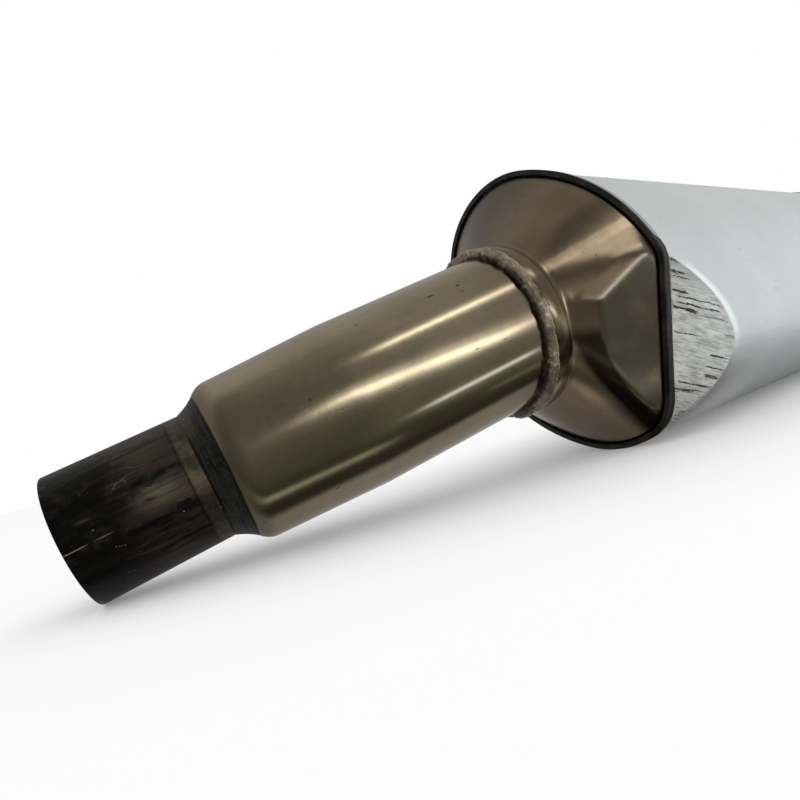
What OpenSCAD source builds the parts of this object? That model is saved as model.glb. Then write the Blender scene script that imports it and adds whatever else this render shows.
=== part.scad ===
// Motorcycle muffler: slip-on inlet, catalyst barrel and an oval can with a flattened front corner.
// Millimetres, +Z up. The origin is the centre of the inlet mouth, and the can runs along +X.
// The muffler lies as it comes to rest: on the mouth edge and on the two end bands of the can.

/* [Inlet joint] */
// Outside diameter of the inlet pipe, which slides into the link pipe
inlet_od = 54; // [48:0.5:60]
// Wall of the inlet pipe
inlet_wall = 1.5; // [1:0.1:2]
// Length of inlet pipe that slides into the link pipe
inlet_slip = 47.6; // [40:0.1:52]
// Bare pipe between the slip length and the weld
inlet_bare = 6; // [3:0.5:10]
// Length of the broad weld between inlet pipe and barrel
inlet_weld_l = 8.3; // [6:0.1:12]

/* [Barrel] */
// Outside diameter of the barrel that holds the catalyst
barrel_od = 76.3; // [72:0.1:82]
// Wall of the barrel
barrel_wall = 1.5; // [1:0.1:2]
// Outside diameter at the front edge of the barrel
barrel_nose_d = 63.6; // [61:0.1:66]
// Outside diameter just behind the rounded nose, where the long taper starts
barrel_taper_d = 71; // [69:0.1:72]
// Length of the rounded nose
barrel_nose_l = 8; // [6:0.5:12]
// Length of the long taper
barrel_taper_l = 51; // [40:1:60]
// Distance along the inlet axis from the mouth to the weld at the can
barrel_run = 198.5; // [190:0.5:215]
// How far the barrel reaches into the neck of the can
barrel_seat = 8; // [5:0.5:9]

/* [Catalyst] */
// Length of the honeycomb
brick_l = 70; // [50:1:72]
// Outside diameter of the steel jacket round the honeycomb
jacket_od = 66; // [60:0.5:68]
// Wall of the jacket
jacket_wall = 1.5; // [1:0.1:2]
// Width across the flats of one honeycomb cell
cell_w = 4.2; // [4:0.1:6]
// Wall between two cells
cell_wall = 0.7; // [0.6:0.1:1.2]

/* [Can] */
// Angle between the inlet axis and the can axis
bend = 23.3; // [18:0.1:26]
// Angle between the neck of the can and the can axis
neck_tilt = 14.8; // [12:0.1:18]
// Depth of the front cap from the weld centre to the band
cap_depth = 42; // [38:0.5:48]
// Sideways distance from the can axis to the weld centre
neck_offset = 14.1; // [10:0.1:16]
// Height of the oval sleeve
oval_h = 159; // [150:0.5:168]
// Width of the oval sleeve
oval_w = 118; // [112:0.5:124]
// Radius at the top and the bottom of the oval
nose_r = 48.2; // [46:0.1:52]
// Length of the sleeve
sleeve_l = 390; // [360:5:430]
// Wall of the aluminium sleeve
sleeve_wall = 1.5; // [1:0.1:2]
// Wall of the pressed end caps
cap_wall = 1.4; // [1:0.1:2]
// How far the skirt of a cap reaches into the sleeve
skirt_l = 12; // [8:0.5:15]

/* [Flattened corner] */
// Distance from the can axis to the flat, at the band
flat_reach = 57.9; // [56.5:0.1:62]
// Direction of the flat round the can axis
flat_dir = 224.4; // [215:0.1:235]
// Slope of the flat on the sleeve
sleeve_slope = 17; // [14:0.5:22]
// Slope of the flat on the front cap
cap_slope = 27; // [22:0.5:32]
// Radius of the rounded corners at both ends of the flat
corner_r = 24; // [18:0.5:28]
// Length of the flat on the front cap, up its slope
flat_rise = 28.4; // [24:0.1:30]
// Radius of the lower crease of that flat
crease_r = 75.8; // [70:0.1:80]
// Distance from the middle of the flat's direction to the centre of the lower crease
crease_side = -4.6; // [-8:0.1:0]
// Distance from the middle of the flat's direction to its highest point
apex_side = -2.9; // [-5:0.1:0]
// Angle between the upper crease of that flat and its slope
crease_turn = 39.3; // [34:0.1:42]

/* [Neck and welds] */
// Gap between the barrel and the inside of the neck that is drawn from the front cap
neck_gap = 1.95; // [1.7:0.05:2.6]
// How far the rounded collar stands out from the neck
collar_proud = 0.9; // [0.6:0.1:1.4]
// Distance from the weld centre to the foot of the neck
neck_l = 13; // [12:0.5:15]
// Radius of the weld bead between barrel and neck
bead_r = 3; // [2:0.1:3.5]

/* [End bands] */
// Width of the black band at each end of the sleeve
band_w = 4.6; // [4:0.1:9]
// How far a band stands out from the sleeve
band_proud = 1.2; // [0.8:0.1:2]
// Part of a band that lies over the skirt of the cap
band_lip = 2.1; // [1.5:0.1:4]

/* [Inside the can] */
// Thickness of the glass wool between sleeve and inner shell
wool_t = 8; // [5:0.5:10]
// Wall of the inner shell
shell_wall = 1; // [0.8:0.1:1.5]
// Thickness of a baffle plate
baffle_t = 1.2; // [1:0.1:2]
// Length of the turned rim of a baffle
baffle_rim = 8; // [5:0.5:12]
// Distance from the band to the front baffle
baffle_front = 110; // [95:1:130]
// Distance from the band to the rear baffle
baffle_rear = 270; // [250:1:290]
// Outside diameter of the transfer tubes
transfer_od = 36; // [30:0.5:38]
// Distance from the can axis to a transfer tube
transfer_offset = 43; // [41:0.5:46]
// Length of a transfer tube that stands out from each baffle
transfer_end = 15; // [10:1:25]
// Wall of the tubes
tube_wall = 1.2; // [1:0.1:1.5]
// Diameter of the holes in the tubes
tube_hole = 5; // [3:0.5:6]
// Diameter of the holes in the inner shell
shell_hole = 7; // [5:0.5:9]
// Diameter of the return holes in the rear baffle
return_hole = 9; // [6:0.5:11]

/* [Outlet] */
// Outside diameter of the tail pipe
tail_od = 42; // [36:0.5:44]
// Length of tail pipe behind the rear cap
tail_out = 30; // [20:1:50]
// Length of tail pipe in the middle chamber
tail_in = 85; // [60:1:110]
// Depth of the rear cap
rear_depth = 12; // [8:0.5:18]
// Distance that the face of the rear cap lies inside the outline of the sleeve
rear_inset = 14; // [10:0.5:18]

/* [Hanger] */
// Distance from the front band to the middle of the hanger
hanger_x = 175; // [150:1:250]
// Length of the hanger foot
hanger_l = 64; // [54:1:80]
// Width of the hanger foot round the sleeve
hanger_w = 40; // [30:1:44]
// Thickness of the hanger foot
hanger_foot = 2.5; // [2:0.5:4]
// Thickness of the hanger lug
hanger_t = 6; // [5:0.5:8]
// Height of the bolt above the sleeve
hanger_h = 27; // [25:0.5:32]
// Outside radius of the lug round the grommet
hanger_r = 18; // [16:0.5:20]
// Diameter of the hole that holds the rubber grommet
grommet_d = 24; // [20:0.5:25]
// Length of the steel bush
bush_l = 20; // [16:0.5:26]
// Outside diameter of the steel bush
bush_od = 14; // [12:0.5:15]
// Diameter of the bolt hole
bolt_d = 8.5; // [8.4:0.1:10.5]

/* [Hidden] */
$fn = 96;
// Overshoot of a cutting tool
cut = 1;
// Larger than any distance across the muffler
far = 400;
// Thickness of the thin slices that a hull joins, and the step from a hull to the round face beside it
sliver = 0.1;
seam = 0.4;
// Slack between a skirt and the sleeve that it slides into
slip_gap = 0.1;
// Radius of the quarter-round welds at the tail pipe and the hanger
weld_r = 3;
// Radius of the hollow face of the inlet weld
weld_hollow = 30;
// How far the inlet pipe reaches through the front edge of the barrel
pipe_lap = 2;
// Radius taken off the inlet pipe where it enters the weld and the barrel
pipe_step = 0.3;
// Distance from the long taper of the barrel to the jacket, and from the jacket's ends to the honeycomb
jacket_gap = 4;
brick_gap = 1;
// Length, thickness and outer bend radius of the rings that carry the jacket
ring_l = 7;
ring_t = 1.2;
ring_bend = 2.4;
// Spacing of holes as a multiple of their diameter
return_pitch = 1.5;
tube_pitch = 4;
shell_pitch = 3;
// Number of hole rows over the height of the inner shell, counted from the middle
shell_rows = 2;
// Number of drillings through a tube in one ring of holes
tube_drills = 4;
// Distance from a baffle or a pipe end to the first hole
hole_margin = 12;
// Thickness and height of the lips of the grommet, and the bevel on them
lip_t = 3;
lip_h = 3;
lip_bevel = 2;
// Distance from the ends of the hanger foot to its welds
weld_margin = 4;

inlet_r = inlet_od / 2;
seat_r = inlet_r - pipe_step;
barrel_r = barrel_od / 2;
// Distances from the mouth along the inlet axis
weld_start = inlet_slip + inlet_bare;
barrel_start = weld_start + inlet_weld_l;
taper_start = barrel_start + barrel_nose_l;
barrel_full = taper_start + barrel_taper_l;
barrel_end = barrel_run + barrel_seat;
jacket_start = barrel_full + jacket_gap;
// Radius of the rounded nose, which runs from the front edge to the long taper
nose_rise = (barrel_taper_d - barrel_nose_d) / 2;
nose_round = (nose_rise ^ 2 + barrel_nose_l ^ 2) / (2 * nose_rise);

// Weld centre and can origin, seen from the mouth and before the muffler is rolled to its rest
weld_at = [barrel_run * cos(bend), -barrel_run * sin(bend), 0];
can_at = weld_at + [cap_depth, -neck_offset, 0];

// The oval is four arcs: two noses and two wide sides, each tangent to the next
half_h = oval_h / 2;
half_w = oval_w / 2;
nose_at = half_h - nose_r;
side_r = (half_h ^ 2 + half_w ^ 2 - 2 * half_h * nose_r) / (2 * (half_w - nose_r));
side_at = side_r - half_w;
nose_share = nose_at / norm([nose_at, side_at]);

// Roll about the can axis at which mouth and end bands reach down equally far
function mouth_drop(a) = inlet_r * sqrt(1 - (sin(bend) * sin(a)) ^ 2);
function can_drop(a) = nose_at * cos(a) + nose_r + band_proud + can_at[1] * sin(a);
function rest_roll(lo, hi, turns) =
    let (mid = (lo + hi) / 2)
    turns == 0 ? mid
    : can_drop(mid) > mouth_drop(mid) ? rest_roll(mid, hi, turns - 1)
    : rest_roll(lo, mid, turns - 1);
roll = rest_roll(0, 90, 40);

neck_in_r = barrel_r + neck_gap;
neck_r = neck_in_r + cap_wall;
// Distances from the weld centre to the end of the neck, where the bead is centred, and to its root
neck_start = 2.6;
neck_root = neck_l + 2;
// Radius of the collar's rounding along the neck
collar_r = 12;
bead_ring = (barrel_r + neck_r) / 2;
// Distance from the can axis to the flat on the skirt of the front cap
cap_flat = flat_reach - sleeve_wall / cos(sleeve_slope) - 2 * slip_gap;
// Overhang of the rounded corners, so that each one crosses the oval at a clear angle
corner_slack = 0.6;
// Turn of each rounded corner, and where along the flat it starts: at the nose and at the wide side
nose_level = flat_reach - corner_r + nose_at * sin(flat_dir);
nose_span = nose_r - corner_r + corner_slack;
nose_turn = acos(nose_level / nose_span);
nose_corner = -nose_at * cos(flat_dir) + nose_span * sin(nose_turn);
side_level = flat_reach - corner_r - side_at * cos(flat_dir);
side_span = side_r - corner_r + corner_slack;
side_turn = acos(side_level / side_span);
side_corner = -side_at * sin(flat_dir) - side_span * sin(side_turn);
// Distance up the slope at which the creases of the front cap's flat start
flat_foot = 5;
// Inset of the skirts, and planes of the rear cap's edge and face
skirt_inset = sleeve_wall + slip_gap;
rear_edge = sleeve_l + band_lip;
rear_face = rear_edge + rear_depth;

shell_inset = sleeve_wall + wool_t;
baffle_inset = shell_inset + shell_wall;
// Ends of the inner shell, clear of both skirts
shell_front = 20;
shell_rear = sleeve_l - skirt_l - 2;
tail_r = tail_od / 2;

lug_span = norm([hanger_l / 2, hanger_h]);
lug_tangent = acos(hanger_r / lug_span) - atan2(hanger_h, hanger_l / 2);

// Places: along the can, along the inlet pipe, and at the neck as seen from the can
module in_can() { rotate([-roll, 0, 0]) translate(can_at) children(); }
module in_pipe() { rotate([-roll, 0, 0]) rotate([0, 0, -bend]) rotate([0, 90, 0]) children(); }
module at_neck() {
    translate([-cap_depth, neck_offset, 0]) rotate([0, 0, -neck_tilt]) rotate([0, 90, 0]) children();
}

// Outline of the sleeve, drawn in by inset, with its height along X
module oval(inset = 0) {
    for (s = [-1, 1]) translate([s * nose_at, 0]) circle(r = nose_r - inset);
    intersection() {
        translate([0, -side_at]) circle(r = side_r - inset);
        translate([0, side_at]) circle(r = side_r - inset);
        square([2 * (nose_at + (nose_r - inset) * nose_share), oval_h], center = true);
    }
}

// Solid oval from x0 to x1 along the can
module oval_bar(inset, x0, x1) {
    translate([x0, 0, 0]) rotate([0, 90, 0]) linear_extrude(height = x1 - x0) oval(inset);
}

// Everything beyond the flat and its rounded corners: reach from the axis at x = 0, leaning by slope
module beyond_flat(reach, slope, rounding) {
    rotate([flat_dir, 0, 0]) translate([0, reach, 0]) rotate([0, 0, slope])
        translate([-far, 0, 0]) rotate([90, 0, 90]) linear_extrude(height = 2 * far) corner_waste(rounding);
}

// Section of what the flat takes away: X points outward, and Y along the flat
module corner_waste(rounding) {
    nose_end = corner_end(rounding, nose_turn);
    side_end = corner_end(rounding, side_turn);
    difference() {
        translate([-rounding, -far]) square([far, 2 * far]);
        for (y = [side_corner, nose_corner]) translate([-rounding, y]) circle(r = rounding);
        polygon([
            [0, side_corner],
            [0, nose_corner],
            [nose_end[0], nose_corner + nose_end[1]],
            [-rounding - cut, nose_corner + nose_end[2]],
            [-rounding - cut, side_corner - side_end[2]],
            [side_end[0], side_corner - side_end[1]]
        ]);
    }
}

// End of a rounded corner after its turn: depth and offset, and the offset where its tangent leaves
function corner_end(rounding, turn) = [
    rounding * (cos(turn) - 1),
    rounding * sin(turn),
    rounding * sin(turn) + (rounding * cos(turn) + cut) / tan(turn)
];

// Solid inside of the sleeve's outline, with the flattened corner
module sleeve_bar(inset, x0, x1) {
    difference() {
        oval_bar(inset, x0, x1);
        beyond_flat(flat_reach - inset / cos(sleeve_slope), sleeve_slope,
            (corner_r - inset) / cos(sleeve_slope));
    }
}

// Solid inside of the front band, with a straight chord across the flattened corner
module band_bar(inset, x0, x1) {
    difference() {
        oval_bar(inset, x0, x1);
        beyond_flat(flat_reach - inset, 0, corner_r - inset);
    }
}

// Inlet pipe: one drawn tube, with a sized seat for the barrel
module inlet_pipe() {
    color("dimgray") in_pipe() difference() {
        union() {
            cylinder(r = inlet_r, h = weld_start);
            cylinder(r = seat_r, h = barrel_start + pipe_lap);
        }
        translate([0, 0, -cut]) cylinder(r = inlet_r - inlet_wall, h = barrel_start + pipe_lap + 2 * cut);
    }
}

// Broad weld with a slightly hollow face, from the pipe up to the edge of the barrel
module inlet_weld() {
    foot = [inlet_r, weld_start];
    top = [barrel_nose_d / 2, barrel_start];
    chord = norm(top - foot);
    outward = [inlet_weld_l, foot[0] - top[0]] / chord;
    color("darkslategray") in_pipe() rotate_extrude() difference() {
        polygon([foot, top, [seat_r, barrel_start], [seat_r, weld_start]]);
        translate((foot + top) / 2 + outward * sqrt(weld_hollow ^ 2 - chord ^ 2 / 4)) circle(r = weld_hollow);
    }
}

// Barrel: spun nose, long taper and straight tube
module barrel_shell() {
    color("darkkhaki") in_pipe() difference() {
        barrel_form(0, 0);
        barrel_form(barrel_wall, cut);
        translate([0, 0, barrel_start - cut]) cylinder(r = seat_r, h = barrel_wall + 2 * cut);
    }
}

// Solid of the barrel's outline, drawn in by inset and made longer by extra
module barrel_form(inset, extra) {
    taper_r = barrel_taper_d / 2;
    front = barrel_start + inset;
    rotate_extrude() {
        polygon([
            [0, front],
            [barrel_nose_d / 2 - inset, front],
            [taper_r - inset, taper_start],
            [barrel_r - inset, barrel_full],
            [barrel_r - inset, barrel_end + extra],
            [0, barrel_end + extra]
        ]);
        intersection() {
            translate([taper_r - nose_round, taper_start]) circle(r = nose_round - inset);
            translate([0, front]) square([taper_r, taper_start - front]);
        }
    }
}

// Steel jacket round the honeycomb
module catalyst_jacket() {
    color("gray") in_pipe() translate([0, 0, jacket_start]) difference() {
        cylinder(d = jacket_od, h = brick_l);
        translate([0, 0, -cut]) cylinder(d = jacket_od - 2 * jacket_wall, h = brick_l + 2 * cut);
    }
}

// Honeycomb of six-sided channels
module catalyst_brick() {
    brick_r = jacket_od / 2 - jacket_wall;
    pitch = cell_w + cell_wall;
    rows = floor(brick_r / (pitch * sin(60)));
    color("lightslategray") in_pipe() translate([0, 0, jacket_start + brick_gap])
        linear_extrude(height = brick_l - 2 * brick_gap) difference() {
            circle(r = brick_r);
            for (j = [-rows:rows]) for (i = [-rows - 2:rows + 2]) {
                at = [(i + abs(j % 2) / 2) * pitch, j * pitch * sin(60)];
                if (norm(at) + cell_w / sqrt(3) + cell_wall < brick_r)
                    translate(at) rotate(30) circle(r = cell_w / sqrt(3), $fn = 6);
            }
        }
}

// Pressed ring with a bent corner that carries one end of the jacket in the barrel
module catalyst_ring() {
    color("gray") rotate_extrude() difference() {
        ring_form(0);
        ring_form(ring_t);
        square([jacket_od / 2, ring_l]);
    }
}

// Half section of the ring's outside, drawn in by inset
module ring_form(inset) {
    edge = barrel_r - barrel_wall - inset;
    bend_r = ring_bend - inset;
    translate([0, inset]) square([edge - bend_r, ring_l]);
    translate([0, ring_bend]) square([edge, ring_l]);
    translate([edge - bend_r, ring_bend]) circle(r = bend_r);
}
module catalyst_front_ring() { in_pipe() translate([0, 0, jacket_start]) catalyst_ring(); }
module catalyst_rear_ring() {
    in_pipe() translate([0, 0, jacket_start + brick_l]) mirror([0, 0, 1]) catalyst_ring();
}

// Weld bead round the barrel, on the end of the neck
module barrel_weld() {
    color("silver") difference() {
        in_can() at_neck() difference() {
            rotate_extrude() translate([bead_ring, neck_start]) circle(r = bead_r);
            difference() {
                neck_collar();
                neck_bore();
            }
        }
        in_pipe() translate([0, 0, barrel_full]) cylinder(r = barrel_r, h = far);
    }
}

// Rounded collar on the neck of the front cap, and the bore that makes it a neck
module neck_collar() {
    rotate_extrude() intersection() {
        translate([neck_r + collar_proud - collar_r, (neck_start + neck_root) / 2]) circle(r = collar_r);
        translate([neck_in_r - cut, neck_start]) square([far, neck_root - neck_start]);
    }
}
module neck_bore() {
    translate([0, 0, neck_start - cut]) cylinder(r = neck_in_r, h = neck_root - neck_start + cut);
}

// Cone from the neck's foot over the flat to the oval, drawn in by inset for its inside
module cap_body(inset) {
    lip = seam - band_lip;
    hull() {
        at_neck() translate([0, 0, neck_l + inset / 2]) cylinder(r = neck_r - seam - inset, h = sliver);
        difference() {
            oval_bar(skirt_inset + seam + inset, lip, lip + sliver);
            beyond_flat(cap_flat - seam - inset / cos(cap_slope), 0, corner_r - skirt_inset - seam - inset);
        }
        translate([lip, 0, 0]) rotate([flat_dir, 0, 0]) translate([0, cap_flat - seam, 0])
            rotate([0, 0, cap_slope]) translate([0, -inset, 0]) rotate([90, 0, 0])
            linear_extrude(height = sliver) cap_flat_outline(inset / 2);
    }
}

// Outline of the cap's flat in its own plane, with -X up the slope: an arc below and a straight crease above
module cap_flat_outline(inset) {
    intersection() {
        translate([crease_r - flat_rise, crease_side]) circle(r = crease_r - inset, $fn = 2 * $fn);
        translate([inset - flat_rise, apex_side + inset]) rotate(-crease_turn) translate([-far, 0])
            square([2 * far, far]);
        translate([-far, -far]) square([far - flat_foot, 2 * far]);
    }
}

// Front cap: one pressing with a drawn neck, a cone with a flattened corner, and a skirt
module front_cap() {
    color("tan") in_can() {
        difference() {
            union() {
                cap_body(0);
                at_neck() neck_collar();
            }
            cap_body(cap_wall);
            at_neck() neck_bore();
        }
        difference() {
            skirt_bar(0, -band_lip, skirt_l);
            skirt_bar(cap_wall, -band_lip - cut, skirt_l + cut);
        }
    }
}

// Solid of the front cap's skirt
module skirt_bar(inset, x0, x1) {
    difference() {
        oval_bar(skirt_inset + inset, x0, x1);
        beyond_flat(cap_flat - inset, 0, corner_r - skirt_inset - inset);
    }
}

// Black band that clamps the sleeve on the front cap
module front_band() {
    color([0.08, 0.08, 0.08]) in_can() difference() {
        band_bar(-band_proud, -band_lip, band_w - band_lip);
        sleeve_bar(0, 0, band_w);
        skirt_bar(-slip_gap, -band_lip - cut, cut);
    }
}

// Aluminium sleeve
module sleeve() {
    color("silver") in_can() difference() {
        sleeve_bar(0, 0, sleeve_l);
        sleeve_bar(sleeve_wall, -cut, sleeve_l + cut);
    }
}

// Inner shell that carries the baffles, drilled through both broad sides between them
module inner_shell() {
    pitch = shell_pitch * shell_hole;
    first = baffle_front + baffle_rim + hole_margin;
    color("gray") in_can() difference() {
        oval_bar(shell_inset, shell_front, shell_rear);
        oval_bar(baffle_inset, shell_front - cut, shell_rear + cut);
        for (x = [first:pitch:baffle_rear - hole_margin]) for (k = [-shell_rows:shell_rows])
            translate([x, 0, k * pitch]) rotate([90, 0, 0]) cylinder(d = shell_hole, h = oval_w, center = true);
    }
}

// Glass wool between sleeve and inner shell
module wool_packing() {
    color("khaki") in_can() difference() {
        sleeve_bar(sleeve_wall, shell_front, shell_rear);
        oval_bar(shell_inset, shell_front - cut, shell_rear + cut);
    }
}

// Baffle plate with a turned rim, at x along the can
module baffle_plate(x) {
    difference() {
        oval_bar(baffle_inset, x, x + baffle_rim);
        oval_bar(baffle_inset + baffle_t, x + baffle_t, x + baffle_rim + cut);
        for (s = [-1, 1]) translate([x - cut, 0, s * transfer_offset]) rotate([0, 90, 0])
            cylinder(d = transfer_od, h = baffle_t + 2 * cut);
    }
}
module front_baffle() { color("gray") in_can() baffle_plate(baffle_front); }
module rear_baffle() {
    color("gray") in_can() difference() {
        baffle_plate(baffle_rear);
        translate([baffle_rear - cut, 0, 0]) rotate([0, 90, 0]) cylinder(r = tail_r, h = baffle_t + 2 * cut);
        for (s = [-1, 1]) for (k = [-1:1])
            translate([baffle_rear - cut, s * (tail_r + return_hole), k * return_pitch * return_hole])
                rotate([0, 90, 0]) cylinder(d = return_hole, h = baffle_t + 2 * cut);
    }
}

// Tube from x0 to x1 along the can, with rings of holes from hole0 to hole1
module holed_tube(od, x0, x1, hole0, hole1) {
    rings = floor((hole1 - hole0) / (tube_pitch * tube_hole));
    difference() {
        translate([x0, 0, 0]) rotate([0, 90, 0]) cylinder(d = od, h = x1 - x0);
        translate([x0 - cut, 0, 0]) rotate([0, 90, 0]) cylinder(d = od - 2 * tube_wall, h = x1 - x0 + 2 * cut);
        for (k = [0:rings]) for (i = [0:tube_drills - 1])
            translate([hole0 + k * tube_pitch * tube_hole, 0, 0])
                rotate([(i + (k % 2) / 2) * 180 / tube_drills, 0, 0])
                    cylinder(d = tube_hole, h = od + cut, center = true);
    }
}
module transfer_tube(side) {
    color("gray") in_can() translate([0, 0, side * transfer_offset])
        holed_tube(transfer_od, baffle_front - transfer_end, baffle_rear + transfer_end,
            baffle_front + baffle_rim + hole_margin, baffle_rear - hole_margin);
}
module transfer_tube_upper() { transfer_tube(1); }
module transfer_tube_lower() { transfer_tube(-1); }

// Tail pipe from the middle chamber to the outlet
module tail_pipe() {
    tail_start = baffle_rear - tail_in;
    color("darkgray") in_can()
        holed_tube(tail_od, tail_start, rear_face + tail_out, tail_start + hole_margin,
            baffle_rear - hole_margin);
}

// Quarter-round weld between the tail pipe and the face of the rear cap
module tail_weld() {
    color("silver") in_can() translate([rear_face, 0, 0]) rotate([0, 90, 0]) rotate_extrude()
        translate([tail_r, 0]) intersection() {
            circle(r = weld_r);
            square(weld_r);
        }
}

// Outline of the rear cap, drawn in by inset for its inside
module rear_form(inset) {
    hull() {
        oval_bar(skirt_inset + seam + inset, rear_edge - seam - sliver, rear_edge - seam);
        oval_bar(rear_inset + inset, rear_edge, rear_face - inset);
    }
}

// Rear cap: one pressing with a skirt, a sloped shoulder and a flat face
module rear_cap() {
    color("tan") in_can() difference() {
        union() {
            rear_form(0);
            oval_bar(skirt_inset, sleeve_l - skirt_l, rear_edge);
        }
        rear_form(cap_wall);
        oval_bar(skirt_inset + cap_wall, sleeve_l - skirt_l - cut, rear_edge - seam);
        translate([sleeve_l, 0, 0]) rotate([0, 90, 0]) cylinder(r = tail_r, h = far);
    }
}

// Black band that clamps the sleeve on the rear cap
module rear_band() {
    color([0.08, 0.08, 0.08]) in_can() difference() {
        oval_bar(-band_proud, rear_edge - band_w, rear_edge);
        oval_bar(0, sleeve_l - band_w, sleeve_l);
        oval_bar(sleeve_wall, sleeve_l - cut, rear_edge + cut);
    }
}

// Hanger: a foot that follows the sleeve, and a lug with the grommet hole
module hanger_bracket() {
    color("silver") in_can() difference() {
        union() {
            hanger_foot_form();
            translate([hanger_x, hanger_t / 2, half_h]) rotate([90, 0, 0]) linear_extrude(height = hanger_t)
                lug_outline();
        }
        oval_bar(0, hanger_x - hanger_l, hanger_x + hanger_l);
        translate([hanger_x, 0, half_h + hanger_h]) rotate([90, 0, 0])
            cylinder(d = grommet_d, h = hanger_t + 2 * cut, center = true);
    }
}

// Solid strip over the top of the sleeve that the foot is cut from
module hanger_foot_form() {
    intersection() {
        oval_bar(-hanger_foot, hanger_x - hanger_l / 2, hanger_x + hanger_l / 2);
        translate([0, -hanger_w / 2, 0]) cube([far, hanger_w, far]);
    }
}

// Outline of the lug: straight flanks that run tangent into the eye
module lug_outline() {
    side = [hanger_r * cos(lug_tangent), hanger_h + hanger_r * sin(lug_tangent)];
    translate([0, hanger_h]) circle(r = hanger_r);
    polygon([[-hanger_l / 2, 0], [hanger_l / 2, 0], side, [-side[0], side[1]]]);
}

// Weld beads along both long edges of the hanger foot
module hanger_weld() {
    edge_z = nose_at + sqrt(nose_r ^ 2 - (hanger_w / 2) ^ 2);
    color("silver") in_can() for (s = [-1, 1]) difference() {
        translate([hanger_x - hanger_l / 2 + weld_margin, s * hanger_w / 2, edge_z]) rotate([0, 90, 0])
            cylinder(r = weld_r, h = hanger_l - 2 * weld_margin);
        oval_bar(0, hanger_x - hanger_l, hanger_x + hanger_l);
        hanger_foot_form();
    }
}

// Place of the hanger bolt, with the bolt along Z
module at_bolt() { in_can() translate([hanger_x, 0, half_h + hanger_h]) rotate([90, 0, 0]) children(); }

// Rubber grommet with a groove that grips the lug
module hanger_grommet() {
    groove_r = grommet_d / 2;
    color([0.12, 0.12, 0.12]) at_bolt() for (s = [0, 1]) mirror([0, 0, s]) rotate_extrude() polygon([
        [bush_od / 2, 0],
        [groove_r, 0],
        [groove_r, hanger_t / 2],
        [groove_r + lip_h, hanger_t / 2],
        [groove_r + lip_h - lip_bevel, hanger_t / 2 + lip_t],
        [bush_od / 2, hanger_t / 2 + lip_t]
    ]);
}

// Steel bush that the bolt passes through
module hanger_bush() {
    color("lightgray") at_bolt() difference() {
        cylinder(d = bush_od, h = bush_l, center = true);
        cylinder(d = bolt_d, h = bush_l + 2 * cut, center = true);
    }
}

inlet_pipe();
inlet_weld();
barrel_shell();
catalyst_jacket();
catalyst_brick();
catalyst_front_ring();
catalyst_rear_ring();
barrel_weld();
front_cap();
front_band();
sleeve();
inner_shell();
wool_packing();
front_baffle();
rear_baffle();
transfer_tube_upper();
transfer_tube_lower();
tail_pipe();
tail_weld();
rear_cap();
rear_band();
hanger_bracket();
hanger_weld();
hanger_grommet();
hanger_bush();
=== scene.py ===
"""Looks of a used motorcycle muffler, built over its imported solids. Metres, +Z up."""

import math
import random

import bmesh
import bpy
from mathutils import Matrix, Vector
from mathutils.bvhtree import BVHTree


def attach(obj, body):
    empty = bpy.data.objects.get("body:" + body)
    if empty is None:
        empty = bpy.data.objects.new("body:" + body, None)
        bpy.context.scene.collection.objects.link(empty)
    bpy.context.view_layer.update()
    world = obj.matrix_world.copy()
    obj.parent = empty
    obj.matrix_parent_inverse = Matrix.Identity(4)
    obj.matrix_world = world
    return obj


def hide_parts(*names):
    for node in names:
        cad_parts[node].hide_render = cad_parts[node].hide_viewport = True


bl_info = {
    "name": "Motorcycle muffler finish",
    "version": (1, 0, 0),
    "blender": (4, 5, 0),
    "location": "3D View > Sidebar > Muffler",
    "description": "Dresses the muffler's solids in worn steel, aluminium and black paint",
    "category": "Object",
}

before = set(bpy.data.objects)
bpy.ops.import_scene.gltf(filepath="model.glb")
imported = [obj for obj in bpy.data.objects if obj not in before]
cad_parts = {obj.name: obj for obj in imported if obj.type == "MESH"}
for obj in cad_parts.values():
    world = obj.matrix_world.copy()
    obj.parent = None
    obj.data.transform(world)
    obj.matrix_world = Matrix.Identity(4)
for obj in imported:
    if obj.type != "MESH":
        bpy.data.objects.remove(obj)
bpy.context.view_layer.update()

# Turns and places of the real pieces, as the solids have them
ROLL = math.radians(32.286)
BEND = math.radians(23.3)
NECK_TILT = math.radians(14.8)
CAN_AT = Vector((0.2243116, -0.0782967, 0.0494703))
NECK_AT = Vector((0.1823116, -0.0663767, 0.0419388))
FLOOR_Z = -0.0263905

CAN_TURN = Matrix.Rotation(-ROLL, 3, "X")
PIPE_TURN = CAN_TURN @ Matrix.Rotation(-BEND, 3, "Z")
NECK_TURN = CAN_TURN @ Matrix.Rotation(-NECK_TILT, 3, "Z")

# Places along pipe and barrel from the mouth of the pipe, and the radius of the barrel
SLIP_END = 0.0476
WELD_START = 0.0536
BARREL_START = 0.0619
BARREL_R = 0.03815

# Neck, cap and can
NECK_START = 0.0026
BEAD_RING = 0.039825
CAP_LIP = 0.002
CAN_MIDDLE = 0.195

# Flattened corner: its way across the can, the flat of the sleeve and the creases of the cap
FLAT_WAY = math.radians(224.4)
FLAT_SIDE, FLAT_UP = math.cos(FLAT_WAY), math.sin(FLAT_WAY)
FLAT_SLOPE = math.radians(17)
FLAT_LEVEL = 0.05537
CREASE_SLOPE = math.radians(27)
CREASE_AT = (0.0035, 0.05613)

# Rows and segments of the cap's skin, and how far the soft cone stays off the creases
NECK_ROWS = 17
NECK_STEP = 0.0007
CONE_ROWS = 44
SKIRT_ROWS = (0.001, 0.008, 0.012)
CAP_SEGMENTS = 288
CONE_ROUNDS = 12
CREASE_CLEAR = 0.0045

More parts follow.
